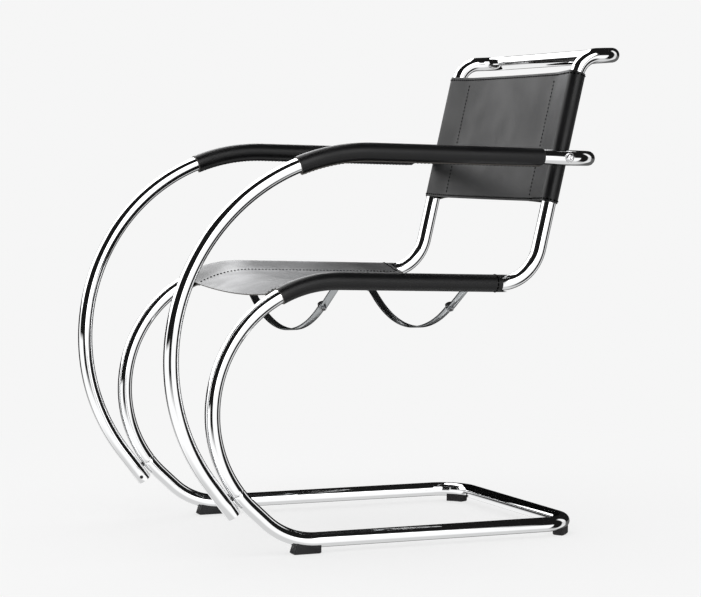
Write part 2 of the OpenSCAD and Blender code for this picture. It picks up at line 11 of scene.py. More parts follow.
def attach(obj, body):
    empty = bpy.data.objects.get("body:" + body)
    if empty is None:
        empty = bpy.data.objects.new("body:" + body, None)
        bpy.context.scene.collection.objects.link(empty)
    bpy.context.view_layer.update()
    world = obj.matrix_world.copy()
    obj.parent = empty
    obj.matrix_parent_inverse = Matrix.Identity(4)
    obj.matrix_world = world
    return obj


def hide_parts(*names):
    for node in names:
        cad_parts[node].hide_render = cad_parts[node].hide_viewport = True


bl_info = {
    "name": "Cantilever Lounge Chair",
    "version": (1, 0, 0),
    "blender": (4, 5, 0),
    "location": "View3D > Sidebar > Chair",
    "description": "Dresses the cantilever chair's frame in chrome, leather and plastic",
    "category": "Object",
}

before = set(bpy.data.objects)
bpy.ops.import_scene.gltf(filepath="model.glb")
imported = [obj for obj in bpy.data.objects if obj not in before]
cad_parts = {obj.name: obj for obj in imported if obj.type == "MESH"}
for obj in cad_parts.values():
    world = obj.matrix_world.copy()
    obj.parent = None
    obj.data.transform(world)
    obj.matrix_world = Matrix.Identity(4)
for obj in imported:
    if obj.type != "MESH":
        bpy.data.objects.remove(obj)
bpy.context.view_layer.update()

# Centre lines of the bent tubes, in metres and degrees, as the frame has them.
MID_Y = 0.1536
FOOT_H = 0.009
TUBE_R = 0.0125
RAIL_X = 0.226
SEAM_GAP = 0.0005
TOE_R, TOE_DEG, LEG_LEN = 0.130, 43.0, 0.0325
RUNNER_LEN, REAR_CORNER_R = 0.421, 0.059
KNEE_R, SEAM_DEG = 0.2105, 9.5
SEAT_SLOPE, SEAT_LEN, HIP_R = 1.7, 0.293, 0.0745
BACK_LEAN, BACK_LEN, CREST_R = 13.2, 0.302, 0.0425
CREST_SLOPE, CREST_LEN, TOP_CORNER_R = 2.8, 0.008, 0.0365
ARM_GAP, ARM_TAIL, ARM_FOOT_LEN, ARM_R = 0.0016, 0.024, 0.0653, 0.331
ARM_SLOPE, ARM_PAST, ARM_CORNER_R, ARM_LEAN = 1.3, 0.0105, 0.050, 1.6
SET_SCREW_AT, SET_SCREW_HOLE, SET_SCREW_SWING = 0.0103, 0.0064, 23.0
BUSH_HOLE = 0.015
TAB_X, TAB_DEPTH = 0.060, 0.006
TAB_SLOT_W = 0.016
BRACES = ((0.0382, 33.5), (0.2744, 31.3))

# Leather slings and sleeves.
LEATHER_T, LEATHER_GAP = 0.002, 0.0002
POCKET_W, FLAP_W = 0.060, 0.006
SEAT_SAG, SEAT_FRONT_DEG, SEAT_REAR_DEG = 0.008, 28.8, 1.0
BACK_SAG, BACK_LOW, BACK_TOP_DEG = 0.0015, 0.080, 4.8
BACK_FORE = 0.005
SLEEVE_FRONT_DEG, SLEEVE_CLEAR, SLEEVE_LAP = 22.6, 0.0451, 0.005
WEB_SHORT, WEB_CUT, END_ROUND = 0.0095, 0.0065, 0.005
UNDER_IN, WEB_BLEND = 0.002, 0.012
SLING_RING_DEG, SLING_RING_LEN = 2.4, 0.014
SLEEVE_RING_DEG, SLEEVE_RINGS, SLEEVE_END = 1.9, 20, 0.008
SLEEVE_POINTS, SLEEVE_SEAM_DEG, SLEEVE_RISE_DEG, SLEEVE_RISE_OVER = 45, 262.0, 346.0, 12.0

# How wide the cut edges of tubes and hides are broken, how far apart the rings of a straight tube are, and the
# hair's breadth short of a path's end that still lies on the path.
BROKEN_EDGE, STRAIGHT_RING, SHORT_OF_END = 0.0003, 0.03, 1e-7

# How near two corners have to be to become one, in what is made here and in what the frame brings.
SEAM_WELD, FRAME_WELD = 0.000001, 0.000005

# Seams: how far they stand in from the pocket's mouth and from a cut edge, how deep the thread lies in the hide,
# how much of the pitch a stitch fills, and how far apart the points are that it follows.
SEAM_IN, HEM, THREAD_SUNK = 0.003, 0.0042, 0.0002
STITCH_FILL, SEAM_STEP = 0.62, 0.004
SEAT_SEAM_START, SEAT_SEAM_SHORT, SEAT_END_SEAM = 0.004, 0.002, 0.009
BACK_SEAM_START, BACK_HEM_IN, SLEEVE_SEAM_IN = 0.006, 0.008, 0.0022

# The camera: degrees, metres, and pixels of the picture.
CAMERA_YAW, CAMERA_PITCH, CAMERA_ROLL, CAMERA_AWAY = 66.532, 3.516, 0.3, 4.0078
FOCAL_PIXELS, PICTURE_PIXELS, SENSOR_MM = 2310.8, 701.0, 36.0
LOOK_AT, LOOK_RIGHT, LOOK_UP = Vector((0.0, 0.150 - MID_Y, 0.414)), 0.006963, -0.014778

# The studio round the camera in rings: how high a ring starts and how softly, in degrees, and its panels,
# each by the bearing right of the camera where it starts, and how light it is.
FLOOR_GLOSS = 0.70
UPPER_PANELS = ((-81, 0.01), (6, 3.0), (50, 0.01), (106, 1.0), (124, 0.01))
STUDIO = (
    (-45.0, 8.0, ((-180, 0.95), (-130, 0.35), (-106, 1.1), (72, 0.01), (106, 0.85), (130, 0.12))),
    (-16.0, 5.0, ((-180, 0.02), (-106, 1.1), (-28, 0.01), (6, 1.1), (72, 0.01), (104, 0.75), (124, 0.12))),
    (-1.5, 1.5, ((-180, 0.02), (-104, 1.3), (-81, 0.01), (6, 3.0), (50, 0.01), (106, 0.8), (124, 0.01))),
    (8.0, 2.0, ((-180, 0.01), (-163, 2.8), (-156, 0.03), (-141, 2.4), *UPPER_PANELS)),
    (22.0, 2.0, ((-180, 3.0), (-100, 2.0), *UPPER_PANELS)),
    (39.0, 3.0, ((-180, 3.0), (-100, 0.01))),
)
PANEL_EDGE = 1.2
CARD_FROM, CARD_TO = Vector((-0.60, 0.0, 0.01)), Vector((-0.60, 0.66, 0.50))

# Lamps: place, size in metres and power in watts. The sheen light has a bearing and a height in degrees.
LAMPS = (("key_light", (1.2, -1.6, 3.4), 2.4, 18.0), ("fill_light", (-1.6, 0.6, 3.4), 2.4, 12.0))
LAMPS_AIM = Vector((0.0, 0.0, 0.4))
SHEEN_FROM, SHEEN_HEIGHT, SHEEN_POWER = -165.0, 28.0, 32.0
SHEEN_AIM, SHEEN_AWAY, SHEEN_SIZE = Vector((0.0, 0.0, 0.45)), 4.0, 2.0

# The floor shows its own shade near the chair and fades into the background between two distances.
FLOOR_R, FLOOR_NEAR_SHARE, FLOOR_FADE = 8.0, 0.72, (0.55, 1.5)


def side_aim(degrees):
    """A heading in the chair's side plane, from rearward toward up."""
    a = radians(degrees)
    return Vector((0.0, cos(a), sin(a)))


def side_left(degrees):
    """The normal to the left of a heading in the side plane."""
    a = radians(degrees)
    return Vector((0.0, -sin(a), cos(a)))


def past_bend(point, heading, radius, turn, side):
    """Where a bend ends. side is 1 to the left of the heading and -1 to the right."""
    centre = point + side * radius * side_left(heading)
    return centre - side * radius * side_left(heading + side * turn)


def off_path(spot, heading, p):
    """A point of a section that stands across a path in the side plane."""
    return spot + Vector((p.x, 0.0, 0.0)) + p.y * side_left(heading)


def ray(angle):
    return Vector((cos(angle), sin(angle)))


LEG_A = 180.0 - TOE_DEG
TOE_P = Vector((0.0, -MID_Y, FOOT_H + TUBE_R))
LEG_LOW = past_bend(TOE_P, 180.0, TOE_R, TOE_DEG, -1)
LEG_TOP = LEG_LOW + LEG_LEN * side_aim(LEG_A)
KNEE_TURN = LEG_A + SEAT_SLOPE
SEAM_A = LEG_A - SEAM_DEG
SEAM_P = past_bend(LEG_TOP, LEG_A, KNEE_R, SEAM_DEG, -1)
HALF_GAP = math.degrees(SEAM_GAP / 2 / KNEE_R)
SEAT_P = past_bend(LEG_TOP, LEG_A, KNEE_R, KNEE_TURN, -1)
SEAT_END = SEAT_P + SEAT_LEN * side_aim(-SEAT_SLOPE)
HIP_TURN = 90.0 - BACK_LEAN + SEAT_SLOPE
BACK_A = 90.0 - BACK_LEAN
BACK_P = past_bend(SEAT_END, -SEAT_SLOPE, HIP_R, HIP_TURN, 1)
CREST_TURN = BACK_A - CREST_SLOPE
REAR_BAR = 2 * (RAIL_X - REAR_CORNER_R)
TOP_BAR = 2 * (RAIL_X - TOP_CORNER_R)

# The arm's own plane leans outward and toes out, until its rail clears the upright's leather.
ARM_P = SEAM_P - ARM_TAIL * side_aim(SEAM_A) + (2 * TUBE_R + ARM_GAP) * side_left(SEAM_A)
ARM_TURN = SEAM_A + ARM_SLOPE
ARM_FOOT_END = ARM_FOOT_LEN * side_aim(SEAM_A)
ARM_RAIL = past_bend(ARM_FOOT_END, SEAM_A, ARM_R, ARM_TURN, -1)
ARM_OFF = 2 * TUBE_R + LEATHER_T + 2 * LEATHER_GAP
SLOPE_T, LEAN_T = math.tan(radians(ARM_SLOPE)), math.tan(radians(BACK_LEAN))
CROSS_Y = (
    BACK_P.y + (ARM_P.z + ARM_RAIL.z + (ARM_P.y + ARM_RAIL.y) * SLOPE_T - BACK_P.z) * LEAN_T
) / (1 + SLOPE_T * LEAN_T)
CROSS_U = CROSS_Y - ARM_P.y
CROSS_V = ARM_RAIL.z - (CROSS_U - ARM_RAIL.y) * SLOPE_T
LEAN_S = sin(radians(ARM_LEAN))
ARM_TOE = math.asin((ARM_OFF - CROSS_V * LEAN_S) / CROSS_U)
ARM_PLANE = Matrix.Rotation(-ARM_TOE, 3, "Z") @ Matrix.Rotation(radians(ARM_LEAN), 3, "Y")
ARM_AT = Vector((RAIL_X, ARM_P.y, ARM_P.z))
CROSS = ARM_AT + ARM_PLANE @ Vector((0.0, CROSS_U, CROSS_V))
CROSS_S = (CROSS_U - ARM_RAIL.y) / cos(radians(ARM_SLOPE))
ARM_RAIL_LEN, SLEEVE_LEN = CROSS_S + ARM_PAST, CROSS_S - SLEEVE_CLEAR
POCKET_X, SKIN_R = RAIL_X - POCKET_W, TUBE_R + LEATHER_GAP + LEATHER_T / 2
LAYER = LEATHER_T + 0.0001
STITCH_X, THREAD_FACE = POCKET_X - SEAM_IN, LEATHER_T / 2 - THREAD_SUNK


# Modelling by hand: each helper is one thing a maker would do in edit mode.


def clear_selection():
    if bpy.context.object and bpy.context.object.mode != "OBJECT":
        bpy.ops.object.mode_set(mode="OBJECT")
    bpy.ops.object.select_all(action="DESELECT")


def take(piece):
    """Selects one piece, and nothing else."""
    clear_selection()
    bpy.context.view_layer.objects.active = piece
    piece.select_set(True)


def edit(piece):
    """Opens one piece in edit mode, all of it selected."""
    take(piece)
    bpy.ops.object.mode_set(mode="EDIT")
    bpy.ops.mesh.select_mode(type="VERT")
    bpy.ops.mesh.select_all(action="SELECT")


def leave():
    bpy.ops.object.mode_set(mode="OBJECT")


def named(name):
    piece = bpy.context.object
    piece.name = name
    piece.data.name = name
    return piece


def apply_place(piece):
    take(piece)
    bpy.ops.object.transform_apply(location=True, rotation=True, scale=True)


def facing(heading, side):
    """Euler angles that turn +Z to the heading and +X to the side."""
    z = heading.normalized()
    x = (side - side.dot(z) * z).normalized()
    return Matrix((x, z.cross(x), z)).transposed().to_euler()


def spin(degrees, centre, axis, steps):
    """Turns what is selected about an axis by the right hand, leaving skin behind it."""
    bpy.ops.mesh.spin(
        steps=steps, dupli=False, angle=-radians(degrees), center=centre, axis=axis, use_auto_merge=False
    )


def push(way):
    bpy.ops.mesh.extrude_region_move(TRANSFORM_OT_translate={"value": tuple(way)})


def add_modifier(piece, kind, **settings):
    """Adds a modifier with its settings and applies it."""
    bpy.context.view_layer.objects.active = piece
    m = piece.modifiers.new(kind.title(), kind)
    for key, value in settings.items():
        setattr(m, key, value)
    bpy.ops.object.modifier_apply(modifier=m.name)


def outward(piece):
    """Closes seams and makes the faces point one way, outward on a closed form."""
    edit(piece)
    bpy.ops.mesh.remove_doubles(threshold=SEAM_WELD)
    bpy.ops.mesh.normals_make_consistent(inside=False)
    leave()


def smooth(piece, degrees):
    take(piece)
    bpy.ops.object.shade_smooth_by_angle(angle=radians(degrees))


def pick_faces(piece, test):
    """In edit mode, selects the faces whose middle passes a test."""
    bpy.ops.mesh.select_mode(type="FACE")
    bpy.ops.mesh.select_all(action="DESELECT")
    mesh = bmesh.from_edit_mesh(piece.data)
    for f in mesh.faces:
        f.select = bool(test(f.calc_center_median()))
    bmesh.update_edit_mesh(piece.data)


def drill(piece, holes):
    """Cuts round holes, each given by its middle, its direction, its diameter and its depth both ways."""
    cutters = []
    for middle, way, across, deep in holes:
        clear_selection()
        turn = way.to_track_quat("Z", "Y").to_euler()
        bpy.ops.mesh.primitive_cylinder_add(
            vertices=24, radius=across / 2, depth=2 * deep, location=middle, rotation=turn
        )
        cutters.append(bpy.context.object)
    cut(piece, cutters)


def cut(piece, cutters):
    """Takes the cutters' shapes out of a piece, and the cutters away."""
    cutter = join(cutters, "cutter")
    apply_place(cutter)
    add_modifier(piece, "BOOLEAN", object=cutter, operation="DIFFERENCE", solver="MANIFOLD")
    clear_selection()
    cutter.select_set(True)
    bpy.ops.object.delete()


def set_screw_hole(side):
    """The hole for the small screw in the arm's lower end, on the inner side and turned a little to the front."""
    swing = radians(SET_SCREW_SWING)
    out = -cos(swing) * Vector((1.0, 0.0, 0.0)) + sin(swing) * side_left(SEAM_A)
    way = ARM_PLANE @ out
    middle = ARM_AT + ARM_PLANE @ (SET_SCREW_AT * side_aim(SEAM_A)) + TUBE_R * way
    for v in (way, middle):
        v.x *= side
    return middle, way, SET_SCREW_HOLE, TUBE_R / 2


def walk(start, heading, legs, step):
    """Goes along straights and bends in a side plane, and gives places and headings a step apart."""

    def onward(far):
        part = math.degrees(far / radius) if radius else 0.0
        spot = past_bend(start, heading, radius, part, side) if radius else start + far * side_aim(heading)
        return spot, heading + side * part

    at, stops = 0.0, []
    for length, radius, side in legs:
        while at <= length:
            stops.append(onward(at))
            at += step
        at -= length
        start, heading = onward(length)
    return stops


def arc_length(radius, degrees):
    return radius * radians(degrees)


def join(pieces, name):
    clear_selection()
    for p in pieces:
        p.select_set(True)
    bpy.context.view_layer.objects.active = pieces[0]
    if len(pieces) > 1:
        bpy.ops.object.join()
    return named(name)


def draw_line(name, points):
    """A line of edges through the points, drawn by extruding one vertex, left in edit mode, all selected."""
    clear_selection()
    bpy.ops.mesh.primitive_circle_add(vertices=3, radius=0.001, location=points[0])
    piece = named(name)
    apply_place(piece)
    edit(piece)
    bpy.ops.mesh.merge(type="CENTER")
    for a, b in zip(points, points[1:]):
        push(b - a)
    bpy.ops.mesh.select_all(action="SELECT")
    return piece


class Bender:
    """The open end of a tube or skin, carried along straights and bends as on a bending machine."""

    def __init__(self, place, heading, ref, degrees_per_ring):
        self.place, self.heading, self.ref = place.copy(), heading.normalized(), ref.normalized()
        self.per_ring = degrees_per_ring

    def straight(self, length, parts=1):
        for _ in range(parts):
            push(self.heading * (length / parts))
        self.place = self.place + self.heading * length

    def bend(self, roll, degrees, radius):
        toward = Matrix.Rotation(radians(roll), 3, self.heading) @ self.ref
        centre = self.place + radius * toward
        axis = self.heading.cross(toward)
        spin(degrees, centre, axis, max(2, round(degrees / self.per_ring)))
        turn = Matrix.Rotation(radians(degrees), 3, axis)
        self.place = centre - radius * (turn @ toward)
        self.heading = (turn @ self.heading).normalized()
        self.ref = (turn @ self.ref).normalized()


def bend_tube(name, place, heading, ref, rows, tubes):
    """One bent tube with its wall, from a table of [straight, roll, turn, radius]."""
    clear_selection()
    bpy.ops.mesh.primitive_circle_add(
        vertices=tubes.ring_points, radius=tubes.diameter / 2, location=place, rotation=facing(heading, ref)
    )
    piece = named(name)
    apply_place(piece)
    edit(piece)
    bender = Bender(place, heading, ref, tubes.ring_degrees)
    for straight, roll, turn, radius in rows:
        if straight > 0:
            bender.straight(straight, max(1, round(straight / STRAIGHT_RING)))
        if turn > 0:
            bender.bend(roll, turn, radius)
    leave()
    outward(piece)
    face = piece.data.polygons[0]
    if (face.center - place).dot(face.normal) < 0:
        edit(piece)
        bpy.ops.mesh.flip_normals()
        leave()
    add_modifier(piece, "SOLIDIFY", thickness=tubes.wall, offset=-1.0, use_even_offset=True)
    add_modifier(piece, "BEVEL", width=BROKEN_EDGE, segments=2, limit_method="ANGLE", angle_limit=radians(60))
    smooth(piece, 40)
    return piece


# Leather: sections of the slings and sleeves, and how they are swept and sewn.


def blend_corner(a, corner, b, parts):
    """Rounds a corner of a line by a curve that leaves towards it and comes in from it."""
    steps = [i / parts for i in range(parts + 1)]
    return [(1 - t) ** 2 * a + 2 * t * (1 - t) * corner + t * t * b for t in steps]


def web_height(x, sag):
    """How far the hanging web stands over the line from rail to rail."""
    radius = (POCKET_X**2 + sag * sag) / (2 * sag)
    return radius - sag - math.sqrt(radius**2 - x * x)


def tangent_deg(corner, centre, radius, side):
    """Where round a circle a straight from the corner touches it."""
    to = corner - centre
    return math.degrees(math.atan2(to.y, to.x)) + side * math.degrees(math.acos(radius / to.length))


def sling_section(sag, fore):
    """The middle of the hide across the sling: lap, pocket, web, pocket and lap, with seams fore of the rails."""
    rail = Vector((RAIL_X, -fore))

    def on_rail(deg):
        return rail + SKIN_R * ray(radians(deg))

    low = Vector((POCKET_X + UNDER_IN, -LAYER))
    high = Vector((POCKET_X, 0.0))
    low_deg, high_deg = tangent_deg(low, rail, SKIN_R, 1), tangent_deg(high, rail, SKIN_R, -1) + 360.0
    lap = Vector((POCKET_X - FLAP_W, web_height(POCKET_X - FLAP_W, sag) - LAYER))
    web_in = Vector((POCKET_X - WEB_BLEND, web_height(POCKET_X - WEB_BLEND, sag)))
    line = [*blend_corner(lap, low, low.lerp(on_rail(low_deg), 0.25), 5)]
    line += [low.lerp(on_rail(low_deg), t) for t in (0.45, 0.65, 0.85)]
    line += [on_rail(low_deg + (high_deg - low_deg) * i / 26) for i in range(27)]
    line += [high.lerp(on_rail(high_deg), t) for t in (0.85, 0.65, 0.45)]
    line += blend_corner(high.lerp(on_rail(high_deg), 0.25), high, web_in, 5)
    line += [Vector((web_in.x * i / 16, web_height(web_in.x * i / 16, sag))) for i in range(15, 0, -1)]
    line = [p + Vector((0.0, fore)) for p in line]
    return line + [Vector((0.0, fore - sag))] + [Vector((-p.x, p.y)) for p in reversed(line)]


def sleeve_section():
    """The middle of the hide round an arm, with one edge lapped over the other underneath."""
    lap_deg = math.degrees(SLEEVE_LAP / SKIN_R)
    line = []
    for i in range(SLEEVE_POINTS + 1):
        deg = i / SLEEVE_POINTS * (360.0 + lap_deg)
        rise = min(1.0, max(0.0, (deg - SLEEVE_RISE_DEG) / SLEEVE_RISE_OVER))
        radius = SKIN_R + LAYER * rise * rise * (3 - 2 * rise)
        line.append(radius * ray(radians(SLEEVE_SEAM_DEG + deg)))
    return line


def beside(line, off):
    """A line that keeps the same distance to the left of another."""
    out = []
    for i, p in enumerate(line):
        along = (line[min(i + 1, len(line) - 1)] - line[max(i - 1, 0)]).normalized()
        out.append(p + off * Vector((-along.y, along.x)))
    return out


def line_length(line):
    return sum((b - a).length for a, b in zip(line, line[1:]))


def give_thickness(piece, look):
    """Gives the swept hide its two finishes, its thickness and soft cut edges."""
    outward(piece)
    hide = stock("Black hide", leather_material, look)
    dress(piece, hide, stock("Cut hide edge", dull_material, look.edge_colour, 0.7, 700.0, 0.5))
    add_modifier(piece, "SOLIDIFY", thickness=LEATHER_T, offset=0.0, use_even_offset=True, material_offset_rim=1)
    add_modifier(piece, "BEVEL", width=BROKEN_EDGE, segments=1, limit_method="ANGLE", angle_limit=radians(60))


def round_ends(piece, at, heading, up):
    """Draws in the corners of a pocket's or sleeve's end: heading leads out of it, and up across it."""
    near_end = 0.0004
    mesh = bmesh.from_edit_mesh(piece.data)
    for v in mesh.verts:
        if abs((v.co - at).dot(heading)) < near_end and abs(v.co.x) > POCKET_X:
            past = min(END_ROUND, max(0.0, abs((v.co - at).dot(up)) - (SKIN_R - END_ROUND)))
            v.co -= heading * (END_ROUND - math.sqrt(END_ROUND**2 - past * past))
    bmesh.update_edit_mesh(piece.data)


def stitch_row(points, look):
    """Stitches along a line: one stitch, repeated and bent along it."""
    clear_selection()
    line = bpy.data.curves.new("seam_line", "CURVE")
    line.dimensions = "3D"
    spline = line.splines.new("POLY")
    spline.points.add(len(points) - 1)
    for spot, place in zip(spline.points, points):
        spot.co = (*place, 1.0)
    guide = bpy.data.objects.new("seam_line", line)
    bpy.context.scene.collection.objects.link(guide)
    pitch = look.stitch_pitch
    count = max(2, int(line_length(points) / pitch - 0.2))
    bpy.ops.mesh.primitive_uv_sphere_add(
        segments=6, ring_count=6, radius=0.5, location=(pitch / 2, 0, 0), rotation=(0, math.pi / 2, 0)
    )
    piece = named("seam")
    piece.scale = (look.thread, look.thread, pitch * STITCH_FILL)
    apply_place(piece)
    repeat = {"use_relative_offset": False, "use_constant_offset": True}
    add_modifier(piece, "ARRAY", count=count, constant_offset_displace=(pitch, 0.0, 0.0), **repeat)
    add_modifier(piece, "CURVE", object=guide, deform_axis="POS_X")
    bpy.data.objects.remove(guide)
    smooth(piece, 80)
    return piece


def ride_stitches(rows, name):
    piece = join(rows, name)
    dress(piece, stock("Sewing thread", dull_material, (0.002, 0.002, 0.002), 0.85, 900.0, 0.4, 0.0))
    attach(piece, "root")
    return piece


def stand_for(piece, node):
    """Puts a piece on the body, and hides the node whose place it takes."""
    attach(piece, "root")
    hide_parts(node)


# Materials.


def add_node(tree, kind, **values):
    """Adds a node with plain values on its sockets, whose names have _ for a space."""
    node = tree.nodes.new("ShaderNode" + kind)
    for label, value in values.items():
        node.inputs[label.replace("_", " ")].default_value = value
    return node


def wire(tree, a, b):
    tree.links.new(a, b)


def feed(tree, value, socket):
    """Gives a socket a plain number or another node's result."""
    if isinstance(value, float):
        socket.default_value = value
    else:
        wire(tree, value, socket)


def calculate(tree, operation, *values):
    node = add_node(tree, "Math")
    node.operation = operation
    for value, socket in zip(values, node.inputs):
        feed(tree, value, socket)
    return node.outputs[0]


def choose(tree, factor, first, second):
    """Mixes two shaders by a factor."""
    mix = add_node(tree, "MixShader")
    for value, socket in zip((factor, first, second), mix.inputs):
        wire(tree, value, socket)
    return mix.outputs["Shader"]


def ramp(tree, source, low, high, from_low, from_high):
    """Maps a value from one range onto another."""
    node = add_node(tree, "MapRange", From_Min=from_low, From_Max=from_high, To_Min=low, To_Max=high)
    wire(tree, source, node.inputs["Value"])
    return node.outputs["Result"]


def shades(tree, factor, colour, low, high):
    """A colour that a mask takes from a darker to a lighter shade."""
    mix = add_node(tree, "Mix")
    mix.data_type = "RGBA"
    mix.inputs["A"].default_value = (*[c * low for c in colour], 1.0)
    mix.inputs["B"].default_value = (*[c * high for c in colour], 1.0)
    wire(tree, factor, mix.inputs["Factor"])
    return mix.outputs["Result"]


def relief(tree, shader, height, strength, depth):
    """Gives the surface a fine relief."""
    bump = add_node(tree, "Bump", Strength=strength, Distance=depth)
    wire(tree, height, bump.inputs["Height"])
    wire(tree, bump.outputs["Normal"], shader.inputs["Normal"])


def new_material(name, **values):
    """A material with a Principled shader, its node tree, and the shader."""
    material = bpy.data.materials.new(name)
    material.use_nodes = True
    tree = material.node_tree
    tree.nodes.clear()
    shader = add_node(tree, "BsdfPrincipled", **values)
    wire(tree, shader.outputs["BSDF"], add_node(tree, "OutputMaterial").inputs["Surface"])
    return material, tree, shader


def stock(name, make, *values):
    """The material of that name, made when it is first asked for."""
    return bpy.data.materials.get(name) or make(name, *values)


def dress(piece, *materials):
    piece.data.materials.clear()
    for material in materials:
        piece.data.materials.append(material)


def new_group(name, sizes, results):
    """A node group with its named sizes and results, its two ends, and a way to lay a texture in it."""
    group = bpy.data.node_groups.new(name, "ShaderNodeTree")
    for label, default in sizes:
        group.interface.new_socket(label, in_out="INPUT", socket_type="NodeSocketFloat").default_value = default
    for label in results:
        group.interface.new_socket(label, in_out="OUTPUT", socket_type="NodeSocketFloat")
    start, end = group.nodes.new("NodeGroupInput"), group.nodes.new("NodeGroupOutput")
    place = add_node(group, "TexCoord")

    def lay(kind, size, **values):
        texture = add_node(group, kind, **values)
        wire(group, place.outputs["Object"], texture.inputs["Vector"])
        wire(group, start.outputs[size], texture.inputs["Scale"])
        return texture

    return group, end, lay


def hide_grain_group():
    """Leather hide: pores and creases as a height, and a soft mask of how it has been handled."""
    sizes = (("Pore size", 900.0), ("Crease size", 140.0), ("Handling size", 14.0))
    group, end, lay = new_group("Hide grain", sizes, ("Height", "Handling"))
    pores = lay("TexVoronoi", "Pore size")
    pores.feature = "DISTANCE_TO_EDGE"
    creases = lay("TexNoise", "Crease size", Detail=5.0, Roughness=0.6)
    handling = lay("TexNoise", "Handling size", Detail=3.0)
    edge = ramp(group, pores.outputs["Distance"], 0.0, 1.0, 0.0, 0.25)
    height = calculate(group, "MULTIPLY_ADD", creases.outputs["Fac"], 0.15, edge)
    wire(group, height, end.inputs["Height"])
    wire(group, handling.outputs["Fac"], end.inputs["Handling"])
    return group


def polish_group():
    """Polished plating: faint wipe marks and haze, as two masks."""
    name = "Polish marks"
    if name in bpy.data.node_groups:
        return bpy.data.node_groups[name]
    group, end, lay = new_group(name, (("Haze size", 9.0), ("Mark size", 60.0)), ("Haze", "Marks"))
    for size, result, detail in (("Haze size", "Haze", 2.0), ("Mark size", "Marks", 4.0)):
        wire(group, lay("TexNoise", size, Detail=detail).outputs["Fac"], end.inputs[result])
    return group


def leather_material(name, look):
    """Smooth black saddle leather with fine pores and a soft sheen."""
    material, tree, shader = new_material(name, Specular_IOR_Level=0.28)
    grain = add_node(tree, "Group")
    grain.node_tree = hide_grain_group()
    grain.inputs["Pore size"].default_value = look.pore_scale
    handling = grain.outputs["Handling"]
    wire(tree, shades(tree, handling, look.colour, 0.85, 1.2), shader.inputs["Base Color"])
    wire(tree, ramp(tree, handling, look.rough - 0.05, look.rough + 0.07, 0.35, 0.65), shader.inputs["Roughness"])
    relief(tree, shader, grain.outputs["Height"], look.grain, 0.00012)
    return material


def metal_material(name, colour, rough, haze):
    """Plated metal whose haze changes a little over the surface."""
    material, tree, shader = new_material(name, Metallic=1.0)
    marks = add_node(tree, "Group")
    marks.node_tree = polish_group()
    wire(tree, shades(tree, marks.outputs["Marks"], colour, 0.96, 1.0), shader.inputs["Base Color"])
    wire(tree, ramp(tree, marks.outputs["Haze"], rough, rough + haze, 0.4, 0.7), shader.inputs["Roughness"])
    return material


def dull_material(name, colour, rough, pitch, bump_strength, shine=0.5):
    """Plastic, black oxide or thread: one colour, with a fine texture in its gloss and surface."""
    material, tree, shader = new_material(name, Specular_IOR_Level=shine)
    texture = add_node(tree, "TexNoise", Scale=pitch, Detail=3.0)
    wire(tree, add_node(tree, "TexCoord").outputs["Object"], texture.inputs["Vector"])
    mask = texture.outputs["Fac"]
    wire(tree, shades(tree, mask, colour, 0.8, 1.25), shader.inputs["Base Color"])
    wire(tree, ramp(tree, mask, rough - 0.06, rough + 0.06, 0.3, 0.7), shader.inputs["Roughness"])
    relief(tree, shader, mask, bump_strength, 0.0001)
    return material


# Sizes and colours that a user would change.


def number(name, description, default, low, high, **more):
    return bpy.props.FloatProperty(name=name, description=description, default=default, min=low, max=high, **more)


def paint(name, description, default):
    return bpy.props.FloatVectorProperty(
        name=name, description=description, subtype="COLOR", size=3, default=default, min=0.0, max=1.0
    )


class ChairTubes(bpy.types.PropertyGroup):
    diameter: number("Tube diameter", "Outside diameter of every tube", 2 * TUBE_R, 0.02, 0.03, unit="LENGTH")
    wall: number("Tube wall", "Wall thickness of the tube", 0.002, 0.001, 0.003, unit="LENGTH")
    ring_points: bpy.props.IntProperty(
        name="Points round", description="Points round the tube", default=64, min=16, max=128
    )
    ring_degrees: number("Degrees per ring", "Turn between the rings of a bend", 1.5, 1.0, 10.0)
    chrome_colour: paint("Chrome colour", "Colour of the plating", (0.92, 0.925, 0.93))
    chrome_rough: number("Chrome roughness", "Roughness of the polished tube", 0.025, 0.0, 0.5)


class ChairLeather(bpy.types.PropertyGroup):
    colour: paint("Leather colour", "Colour of the hide", (0.0055, 0.0055, 0.006))
    edge_colour: paint("Edge colour", "Colour of the cut edges", (0.085, 0.078, 0.070))
    rough: number("Roughness", "Roughness of the hide", 0.36, 0.1, 1.0)
    grain: number("Grain", "Strength of the pores", 0.12, 0.0, 1.0)
    pore_scale: number("Pore scale", "Pores for each metre", 1000.0, 100.0, 4000.0)
    stitch_pitch: number("Stitch pitch", "Distance from stitch to stitch", 0.0066, 0.002, 0.01, unit="LENGTH")
    thread: number("Thread", "Diameter of the thread", 0.003, 0.0004, 0.004, unit="LENGTH")


class ChairStage(bpy.types.PropertyGroup):
    background: paint("Background", "Colour of floor and backdrop", (0.921, 0.921, 0.921))
    room_light: number("Room light", "Strength of the even light", 0.90, 0.0, 2.0)


# Pieces.


